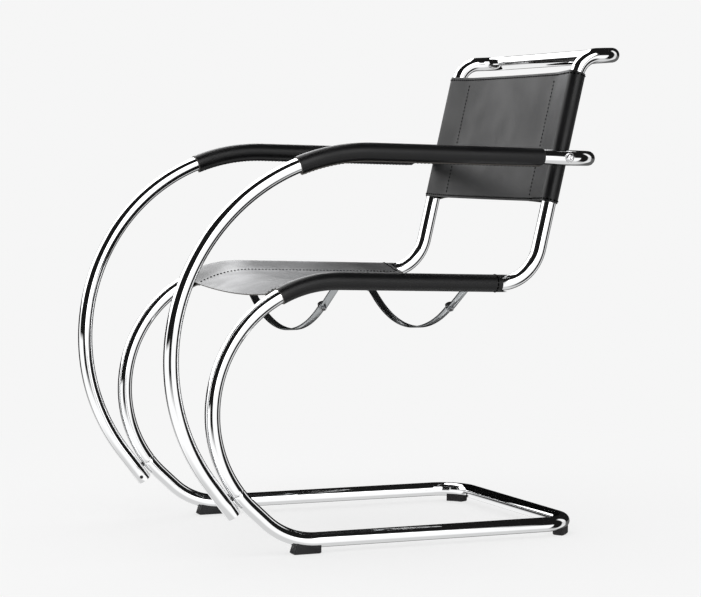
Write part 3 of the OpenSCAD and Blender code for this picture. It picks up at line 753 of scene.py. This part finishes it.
class CHAIR_OT_tubes(bpy.types.Operator):
    """Bends the lower frame, the upper frame and the arm loop"""

    bl_idname = "chair.tubes"
    bl_label = "Bend the tubes"

    def execute(self, context):
        tubes = context.scene.chair_tubes
        low_a, up_a = SEAM_DEG - HALF_GAP, SEAM_DEG + HALF_GAP
        low_p, up_p = (past_bend(LEG_TOP, LEG_A, KNEE_R, a, -1) for a in (low_a, up_a))
        level = Matrix.Identity(3)
        lower_rows = [
            (0.0, 180.0, low_a, KNEE_R),
            (LEG_LEN, 180.0, TOE_DEG, TOE_R),
            (RUNNER_LEN, 90.0, 90.0, REAR_CORNER_R),
            (REAR_BAR, 90.0, 90.0, REAR_CORNER_R),
            (RUNNER_LEN, 180.0, TOE_DEG, TOE_R),
            (LEG_LEN, 180.0, low_a, KNEE_R),
        ]
        upper_rows = [
            (0.0, 0.0, KNEE_TURN - up_a, KNEE_R),
            (SEAT_LEN, 180.0, HIP_TURN, HIP_R),
            (BACK_LEN, 0.0, CREST_TURN, CREST_R),
            (CREST_LEN, 90.0, 90.0, TOP_CORNER_R),
            (TOP_BAR, 90.0, 90.0, TOP_CORNER_R),
            (CREST_LEN, 0.0, CREST_TURN, CREST_R),
            (BACK_LEN, 180.0, HIP_TURN, HIP_R),
            (SEAT_LEN, 0.0, KNEE_TURN - up_a, KNEE_R),
        ]
        chrome = stock("Chromed tube", metal_material, tubes.chrome_colour, tubes.chrome_rough, 0.03)
        for name, node, place, plane, angle, rows in (
            ("lower_tube", "lower_frame", low_p, level, LEG_A - low_a - 180.0, lower_rows),
            ("upper_tube", "upper_frame", up_p, level, LEG_A - up_a, upper_rows),
            ("arm_tube", "arm_loop", ARM_P, ARM_PLANE, SEAM_A, arm_rows()),
        ):
            place = place + Vector((RAIL_X, 0.0, 0.0))
            piece = bend_tube(name, place, plane @ side_aim(angle), plane @ -side_left(angle), rows, tubes)
            if node == "arm_loop":
                drill(piece, [set_screw_hole(side) for side in (1, -1)])
            dress(piece, chrome)
            stand_for(piece, node)
        return {"FINISHED"}


def arm_rows():
    """The arm loop's bending table. Its rear corners bring the leaning rails into one level cross bar."""
    lean, toe, slope = radians(ARM_LEAN), ARM_TOE, radians(ARM_SLOPE)
    cx = cos(slope) * sin(lean) * cos(toe) + sin(slope) * sin(toe)
    cy = cos(lean) * cos(toe)
    cz = sin(slope) * sin(lean) * cos(toe) - cos(slope) * sin(toe)
    roll, turn = math.degrees(math.atan2(cy, cx)), math.degrees(math.acos(cz))
    end = ARM_RAIL + ARM_RAIL_LEN * side_aim(-ARM_SLOPE)
    end_x = RAIL_X + end.y * sin(toe) + end.z * sin(lean) * cos(toe)
    bar = 2 * (end_x - ARM_CORNER_R * math.tan(radians(turn) / 2) * (1 + cz))
    return [
        (ARM_FOOT_LEN, 0.0, ARM_TURN, ARM_R),
        (ARM_RAIL_LEN, roll, turn, ARM_CORNER_R),
        (bar, roll, turn, ARM_CORNER_R),
        (ARM_RAIL_LEN, 0.0, ARM_TURN, ARM_R),
        (ARM_FOOT_LEN, 0.0, 0.0, 0.0),
    ]


class Sling:
    """A sling of hide between two rails: where it starts, its path, and its section."""

    def __init__(self, name, start, heading, legs, sag, fore=0.0):
        self.name, self.start, self.heading, self.legs, self.sag, self.fore = name, start, heading, legs, sag, fore
        self.line = sling_section(sag, fore)
        self.length = sum(leg[0] for leg in legs)

    def at(self, distance):
        """Place and heading on the path at a distance from its start."""
        return walk(self.start, self.heading, self.legs, distance)[1]

    def sweep(self):
        piece = draw_line(self.name, [off_path(self.start, self.heading, p) for p in self.line])
        bender = Bender(self.start, side_aim(self.heading), -side_left(self.heading), SLING_RING_DEG)
        for length, radius, side in self.legs:
            if radius:
                bender.bend(0.0 if side < 0 else 180.0, math.degrees(length / radius), radius)
            else:
                bender.straight(length, max(1, round(length / SLING_RING_LEN)))
        leave()
        return piece

    def along(self, x, height, first, last):
        """A line along the sling at one place across it."""
        stops = walk(self.start, self.heading, self.legs, SEAM_STEP)
        low, high = round(first / SEAM_STEP), round((self.length - last) / SEAM_STEP)
        return [off_path(spot, a, Vector((x, self.fore + height))) for spot, a in stops[low : high + 1]]

    def long_seams(self, first, last, look):
        """The seams along both pockets' mouths, with their thread on both faces."""
        under = web_height(STITCH_X, self.sag) - LAYER - THREAD_FACE
        return [
            stitch_row(self.along(side * STITCH_X, height, first, last), look)
            for side in (-1, 1)
            for height in (THREAD_FACE, under)
        ]

    def in_web(self, p, limit):
        return abs(p.x) < limit and abs(p.y - self.fore - web_height(p.x, self.sag)) < LEATHER_T / 2

    def across(self, distance, off, limit=None, pocket=0):
        """A line across the sling, on one face of it, perhaps only so far out or round one pocket."""
        spot, a = self.at(distance)
        line = beside(self.line, off)
        if limit:
            line = [p for p, q in zip(line, self.line) if self.in_web(q, limit)]
        if pocket:
            line = [p for p in line if p.x * pocket > POCKET_X + UNDER_IN]
        return [off_path(spot, a, p) for p in line]


def seat_sling():
    turn = KNEE_TURN - SEAT_FRONT_DEG
    start = past_bend(LEG_TOP, LEG_A, KNEE_R, turn, -1)
    legs = [
        (arc_length(KNEE_R, SEAT_FRONT_DEG), KNEE_R, -1),
        (SEAT_LEN, 0.0, 1),
        (arc_length(HIP_R, SEAT_REAR_DEG), HIP_R, 1),
    ]
    return Sling("seat_hide", start, LEG_A - turn, legs, SEAT_SAG)


def back_sling():
    legs = [(BACK_LEN - BACK_LOW, 0.0, 1), (arc_length(CREST_R, BACK_TOP_DEG), CREST_R, -1)]
    return Sling("back_hide", BACK_P + BACK_LOW * side_aim(BACK_A), BACK_A, legs, BACK_SAG, BACK_FORE)


class CHAIR_OT_seat(bpy.types.Operator):
    """Sews the seat's hide round the two seat rails"""

    bl_idname = "chair.seat"
    bl_label = "Sew the seat"

    def execute(self, context):
        look = context.scene.chair_leather
        sling = seat_sling()
        piece = sling.sweep()
        rear, heading = sling.at(sling.length - SHORT_OF_END)
        web_end, _ = sling.at(sling.length - WEB_SHORT)
        out = side_aim(heading)
        edit(piece)
        bpy.ops.mesh.bisect(plane_co=web_end, plane_no=out)
        pick_faces(piece, lambda c: abs(c.x) < POCKET_X - WEB_CUT and (c - web_end).dot(out) > 0)
        bpy.ops.mesh.delete(type="FACE")
        round_ends(piece, rear, out, side_left(heading))
        leave()
        give_thickness(piece, look)
        self.tab_slots(piece)
        smooth(piece, 40)
        rows = sling.long_seams(SEAT_SEAM_START, WEB_SHORT + SEAT_SEAM_SHORT, look)
        for side in (-1, 1):
            rows.append(stitch_row(sling.across(sling.length - SEAT_END_SEAM, -THREAD_FACE, pocket=side), look))
        stitches = ride_stitches(rows, "seat_stitches")
        stand_for(piece, "seat_leather")
        return {"FINISHED"}

    def tab_slots(self, piece):
        """Slots in the pockets' inner side, where the tabs of the two straps come out."""
        cutters = []
        for y, degrees in BRACES:
            fall = radians(degrees)
            rail_z = SEAT_P.z - (y - (SEAT_P.y + MID_Y)) * math.tan(radians(SEAT_SLOPE))
            place = Vector((RAIL_X, y - MID_Y, rail_z))
            place += Vector((-cos(fall), 0.0, -sin(fall))) * (TUBE_R + TAB_X / 2)
            place += Vector((sin(fall), 0.0, -cos(fall))) * TAB_DEPTH / 2
            for side in (1, -1):
                clear_selection()
                bpy.ops.mesh.primitive_cube_add(
                    size=1.0, location=(side * place.x, place.y, place.z), rotation=(0.0, -side * fall, 0.0)
                )
                box = bpy.context.object
                box.scale = (TAB_X, TAB_SLOT_W, TAB_DEPTH)
                apply_place(box)
                cutters.append(box)
        cut(piece, cutters)


class CHAIR_OT_back(bpy.types.Operator):
    """Sews the back's hide round the two uprights"""

    bl_idname = "chair.back"
    bl_label = "Sew the back"

    def execute(self, context):
        look = context.scene.chair_leather
        sling = back_sling()
        piece = sling.sweep()
        give_thickness(piece, look)
        holes = [Vector((side * (RAIL_X + SKIN_R), CROSS.y, CROSS.z)) for side in (1, -1)]
        drill(piece, [(hole, Vector((1, 0, 0)), BUSH_HOLE, TUBE_R / 2) for hole in holes])
        smooth(piece, 40)
        rows = sling.long_seams(BACK_SEAM_START, BACK_SEAM_START, look)
        for distance in (HEM, sling.length - HEM):
            rows.append(stitch_row(sling.across(distance, -THREAD_FACE), look))
            rows.append(stitch_row(sling.across(distance, THREAD_FACE, limit=POCKET_X - BACK_HEM_IN), look))
        stitches = ride_stitches(rows, "back_stitches")
        stand_for(piece, "back_leather")
        return {"FINISHED"}


class CHAIR_OT_sleeves(bpy.types.Operator):
    """Sews a sleeve of hide round each arm"""

    bl_idname = "chair.sleeves"
    bl_label = "Sew the sleeves"

    def execute(self, context):
        look = context.scene.chair_leather
        for side, label in ((1, "left"), (-1, "right")):
            self.sleeve(look, side, label)
        return {"FINISHED"}

    def sleeve(self, look, side, label):
        line = sleeve_section()
        turn = ARM_TURN - SLEEVE_FRONT_DEG
        start, heading = past_bend(ARM_FOOT_END, SEAM_A, ARM_R, turn, -1), SEAM_A - turn
        legs = [(arc_length(ARM_R, SLEEVE_FRONT_DEG), ARM_R, -1), (SLEEVE_LEN, 0.0, 1)]

        def mirrored(v):
            return Vector((side * v.x, v.y, v.z))

        def way(v):
            return mirrored(ARM_PLANE @ v)

        def place(spot, a, p):
            return mirrored(ARM_AT + ARM_PLANE @ off_path(spot, a, p))

        piece = draw_line(f"arm_hide_{label}", [place(start, heading, p) for p in line])
        centre = place(start, heading, Vector((0.0, 0.0)))
        bender = Bender(centre, way(side_aim(heading)), way(-side_left(heading)), SLEEVE_RING_DEG)
        bender.bend(0.0, SLEEVE_FRONT_DEG, ARM_R)
        bender.straight(SLEEVE_LEN - SLEEVE_END, SLEEVE_RINGS)
        bender.straight(SLEEVE_END)
        round_ends(piece, bender.place, bender.heading, way(side_left(-ARM_SLOPE)))
        leave()
        give_thickness(piece, look)
        smooth(piece, 40)
        seam = line[-1] * (1 + (LEATHER_T / 2 - 4 * THREAD_SUNK) / line[-1].length)
        seam = seam.length * ray(math.atan2(seam.y, seam.x) - SLEEVE_SEAM_IN / SKIN_R)
        stops = walk(start, heading, legs, SEAM_STEP)[1:-2]
        rows = [stitch_row([place(spot, a, seam) for spot, a in stops], look)]
        stitches = ride_stitches(rows, f"sleeve_stitches_{label}")
        stand_for(piece, f"arm_sleeve_{label}")


def refined(node, name, edge, slot, material, flat_deg=1.0):
    """A smooth copy of a plain solid, with its edges broken, in the solid's place."""
    take(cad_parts[node])
    bpy.ops.object.duplicate()
    piece = named(name)
    for key in list(piece.keys()):
        del piece[key]
    piece.parent = None
    edit(piece)
    bpy.ops.mesh.remove_doubles(threshold=FRAME_WELD)
    bpy.ops.mesh.dissolve_limited(angle_limit=radians(flat_deg))
    leave()
    if edge:
        add_modifier(piece, "BEVEL", width=edge, segments=2, limit_method="ANGLE", angle_limit=radians(35))
    smooth(piece, 32)
    dress(piece, material)
    stand_for(piece, node)


class CHAIR_OT_fittings(bpy.types.Operator):
    """Finishes the straps, tabs, bolts, screws and feet"""

    bl_idname = "chair.fittings"
    bl_label = "Finish the fittings"

    def execute(self, context):
        finish = {
            "chrome_bar": metal_material("Polished bar", (0.50, 0.52, 0.53), 0.14, 0.08),
            "chrome_screw": metal_material("Plated screw", (0.8, 0.8, 0.81), 0.12, 0.08),
            "plated_steel": metal_material("Zinc plating", (0.55, 0.55, 0.56), 0.32, 0.12),
            "blackened_steel": dull_material("Blackened steel", (0.028, 0.028, 0.030), 0.42, 500.0, 0.15),
            "black_plastic": dull_material("Moulded plastic", (0.010, 0.010, 0.011), 0.5, 1200.0, 0.35, 0.3),
        }
        rows, ends = [], ("front", "rear")
        for side in ("left", "right"):
            rows += [(f"{end}_foot_{side}", f"{end}_shoe_{side}", 0.0005, "black_plastic") for end in ends]
            rows += [(f"brace_tab_{end}_{side}", f"{end}_tab_{side}", 0.0004, "chrome_bar") for end in ends]
        rows += [
            ("front_brace_strap", "front_strap", 0.0005, "chrome_bar", 0.1),
            ("rear_brace_strap", "rear_strap", 0.0005, "chrome_bar", 0.1),
            ("brace_bolts", "strap_bolts", 0.0003, "blackened_steel"),
            ("brace_nuts", "strap_nuts", 0.0002, "plated_steel"),
            ("arm_screws", "arm_button_screws", 0.0003, "chrome_screw"),
            ("arm_washers", "arm_rests_washers", 0.0, "chrome_screw"),
            ("arm_plug_left", "arm_end_plug_left", 0.0002, "plated_steel"),
            ("arm_plug_right", "arm_end_plug_right", 0.0002, "plated_steel"),
        ]
        for node, name, edge, slot, *flat_deg in rows:
            refined(node, name, edge, slot, finish[slot], *flat_deg)
        for node, slot in (
            ("joint_spigot_left", "plated_steel"),
            ("joint_spigot_right", "plated_steel"),
            ("upright_inserts", "plated_steel"),
            ("joint_studs", "blackened_steel"),
            ("arm_set_screws", "blackened_steel"),
            ("arm_bushes", "black_plastic"),
        ):
            dress(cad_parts[node], finish[slot])
        return {"FINISHED"}


class CHAIR_OT_stage(bpy.types.Operator):
    """Sets the floor, the lights, the room and the camera"""

    bl_idname = "chair.stage"
    bl_label = "Set the stage"

    def execute(self, context):
        stage = context.scene.chair_stage
        clear_selection()
        bpy.ops.mesh.primitive_circle_add(vertices=96, radius=FLOOR_R, fill_type="NGON", location=(0.0, 0.0, 0.0))
        floor = named("floor")
        dress(floor, self.floor_finish(stage))
        self.black_card()
        self.room(context.scene, stage)
        for name, place, size, power in LAMPS:
            lamp = self.lamp(name, Vector(place), LAMPS_AIM, size, power)
            lamp.visible_glossy = False
        self.sheen()
        self.camera(context.scene)
        context.scene.view_settings.view_transform = "Standard"
        return {"FINISHED"}

    def lamp(self, name, place, aim, size, power):
        """A soft square light that faces a point."""
        bpy.ops.object.light_add(type="AREA", location=place)
        lamp = bpy.context.object
        lamp.name = name
        lamp.data.size, lamp.data.energy = size, power
        lamp.rotation_euler = (aim - place).to_track_quat("-Z", "Y").to_euler()
        return lamp

    def black_card(self):
        """A low black card beyond the far runner, which only reflections show."""
        low, high = CARD_FROM, CARD_TO
        bpy.ops.mesh.primitive_plane_add(size=1.0, location=(low + high) / 2, rotation=(0.0, math.pi / 2, 0.0))
        card = named("black_card")
        card.scale = (high.z - low.z, high.y - low.y, 1.0)
        apply_place(card)
        dress(card, dull_material("Black card", (0.003, 0.003, 0.003), 0.9, 40.0, 0.1, 0.0))
        for rays in ("camera", "diffuse", "transmission", "volume_scatter", "shadow"):
            setattr(card, f"visible_{rays}", False)

    def sheen(self):
        """A soft light from low behind the chair, which only the leather takes."""
        bearing, height = radians(CAMERA_YAW - 90.0 + SHEEN_FROM), radians(SHEEN_HEIGHT)
        way = Vector((cos(bearing) * cos(height), sin(bearing) * cos(height), sin(height)))
        lamp = self.lamp("sheen_light", SHEEN_AIM + SHEEN_AWAY * way, SHEEN_AIM, SHEEN_SIZE, SHEEN_POWER)
        lamp.data.color = (0.97, 0.98, 1.0)
        leather = bpy.data.collections.new("Leather pieces")
        for name in ("seat_hide", "back_hide", "arm_hide_left", "arm_hide_right"):
            leather.objects.link(bpy.data.objects[name])
        lamp.light_linking.receiver_collection = leather

    def floor_finish(self, stage):
        """A pale floor that takes a faint shadow, fades into the background, and is left out of reflections."""
        colour = (*stage.background, 1.0)
        material, tree, shader = new_material("Pale floor", Base_Color=colour, Roughness=0.9, Specular_IOR_Level=0.0)
        reach = add_node(tree, "VectorMath")
        reach.operation = "LENGTH"
        wire(tree, add_node(tree, "TexCoord").outputs["Object"], reach.inputs[0])
        far = ramp(tree, reach.outputs["Value"], FLOOR_NEAR_SHARE, 1.0, *FLOOR_FADE)
        path = add_node(tree, "LightPath")
        glow = add_node(tree, "Emission", Color=colour).outputs["Emission"]
        share = calculate(tree, "MULTIPLY", far, path.outputs["Is Camera Ray"])
        seen = choose(tree, share, shader.outputs["BSDF"], glow)
        clear = add_node(tree, "BsdfTransparent").outputs["BSDF"]
        shown = choose(tree, path.outputs["Is Glossy Ray"], seen, clear)
        out = next(n for n in tree.nodes if n.type == "OUTPUT_MATERIAL")
        wire(tree, shown, out.inputs["Surface"])
        return material

    def room(self, scene, stage):
        """An even white room, which glossy surfaces see as a studio of light and dark panels in rings."""
        world = scene.world or bpy.data.worlds.new("Room")
        scene.world = world
        world.use_nodes = True
        tree = world.node_tree
        tree.nodes.clear()
        place, split = add_node(tree, "TexCoord"), add_node(tree, "SeparateXYZ")
        wire(tree, place.outputs["Generated"], split.inputs["Vector"])
        bearing = calculate(tree, "ARCTAN2", split.outputs["Y"], split.outputs["X"])
        turned = calculate(tree, "SUBTRACT", bearing, radians(CAMERA_YAW - 90.0))
        wrapped = calculate(tree, "WRAP", turned, math.pi, -math.pi)
        share = calculate(tree, "MULTIPLY_ADD", wrapped, 0.5 / math.pi, 0.5)

        def panels(row):
            """The lightness of one ring by bearing, from panel to panel."""
            made = add_node(tree, "ValToRGB")
            stops = made.color_ramp.elements
            light = [value for _, value in row]
            stops[0].color = (*[light[0]] * 3, 1.0)
            stops[1].color = (*[light[-1]] * 3, 1.0)
            for (start, value), before in zip(row[1:], light):
                for degrees, level in ((start - PANEL_EDGE, before), (start + PANEL_EDGE, value)):
                    stops.new(degrees / 360.0 + 0.5).color = (level, level, level, 1.0)
            wire(tree, share, made.inputs["Fac"])
            return made.outputs["Color"]

        around = FLOOR_GLOSS
        for height, soft, row in STUDIO:
            low, high = (sin(radians(d)) for d in (height - soft, height + soft))
            ring = add_node(tree, "Mix")
            feed(tree, ramp(tree, split.outputs["Z"], 0.0, 1.0, low, high), ring.inputs["Factor"])
            feed(tree, around, ring.inputs["A"])
            feed(tree, panels(row), ring.inputs["B"])
            around = ring.outputs["Result"]
        white = (1.0, 1.0, 1.0, 1.0)
        gloss = add_node(tree, "Background", Color=white)
        wire(tree, around, gloss.inputs["Strength"])
        even = add_node(tree, "Background", Color=white, Strength=stage.room_light)
        plain = add_node(tree, "Background", Color=(*stage.background, 1.0), Strength=1.0)
        path = add_node(tree, "LightPath")
        lit = choose(tree, path.outputs["Is Glossy Ray"], even.outputs["Background"], gloss.outputs["Background"])
        shown = choose(tree, path.outputs["Is Camera Ray"], lit, plain.outputs["Background"])
        wire(tree, shown, add_node(tree, "OutputWorld").inputs["Surface"])

    def camera(self, scene):
        yaw, pitch, roll = (radians(d) for d in (CAMERA_YAW, CAMERA_PITCH, CAMERA_ROLL))
        away = Vector((-sin(yaw) * cos(pitch), cos(yaw) * cos(pitch), -sin(pitch)))
        right = Vector((cos(yaw), sin(yaw), 0.0))
        up = right.cross(away)
        target = LOOK_AT + LOOK_RIGHT * right + LOOK_UP * up
        tilted = cos(roll) * right + sin(roll) * up
        upright = cos(roll) * up - sin(roll) * right
        bpy.ops.object.camera_add(location=target - CAMERA_AWAY * away)
        camera = bpy.context.object
        camera.rotation_euler = Matrix((tilted, upright, -away)).transposed().to_euler()
        camera.data.sensor_width = SENSOR_MM
        camera.data.lens = FOCAL_PIXELS / PICTURE_PIXELS * SENSOR_MM
        scene.camera = camera


class CHAIR_PT_panel(bpy.types.Panel):
    """Shows a button for each step that builds the chair"""

    bl_idname = "CHAIR_PT_panel"
    bl_label = "Lounge chair"
    bl_space_type = "VIEW_3D"
    bl_region_type = "UI"
    bl_category = "Chair"

    def draw(self, context):
        for step in STEPS:
            self.layout.operator(step.bl_idname)


STEPS = (CHAIR_OT_tubes, CHAIR_OT_seat, CHAIR_OT_back, CHAIR_OT_sleeves, CHAIR_OT_fittings, CHAIR_OT_stage)
GROUPS = (("chair_tubes", ChairTubes), ("chair_leather", ChairLeather), ("chair_stage", ChairStage))


def register():
    for name, group in GROUPS:
        bpy.utils.register_class(group)
        setattr(bpy.types.Scene, name, bpy.props.PointerProperty(type=group))
    for step in (*STEPS, CHAIR_PT_panel):
        bpy.utils.register_class(step)


def unregister():
    for step in reversed((*STEPS, CHAIR_PT_panel)):
        bpy.utils.unregister_class(step)
    for name, group in reversed(GROUPS):
        delattr(bpy.types.Scene, name)
        bpy.utils.unregister_class(group)


def main():
    register()
    for step in STEPS:
        family, action = step.bl_idname.split(".")
        getattr(getattr(bpy.ops, family), action)()


if __name__ == "__main__":
    main()
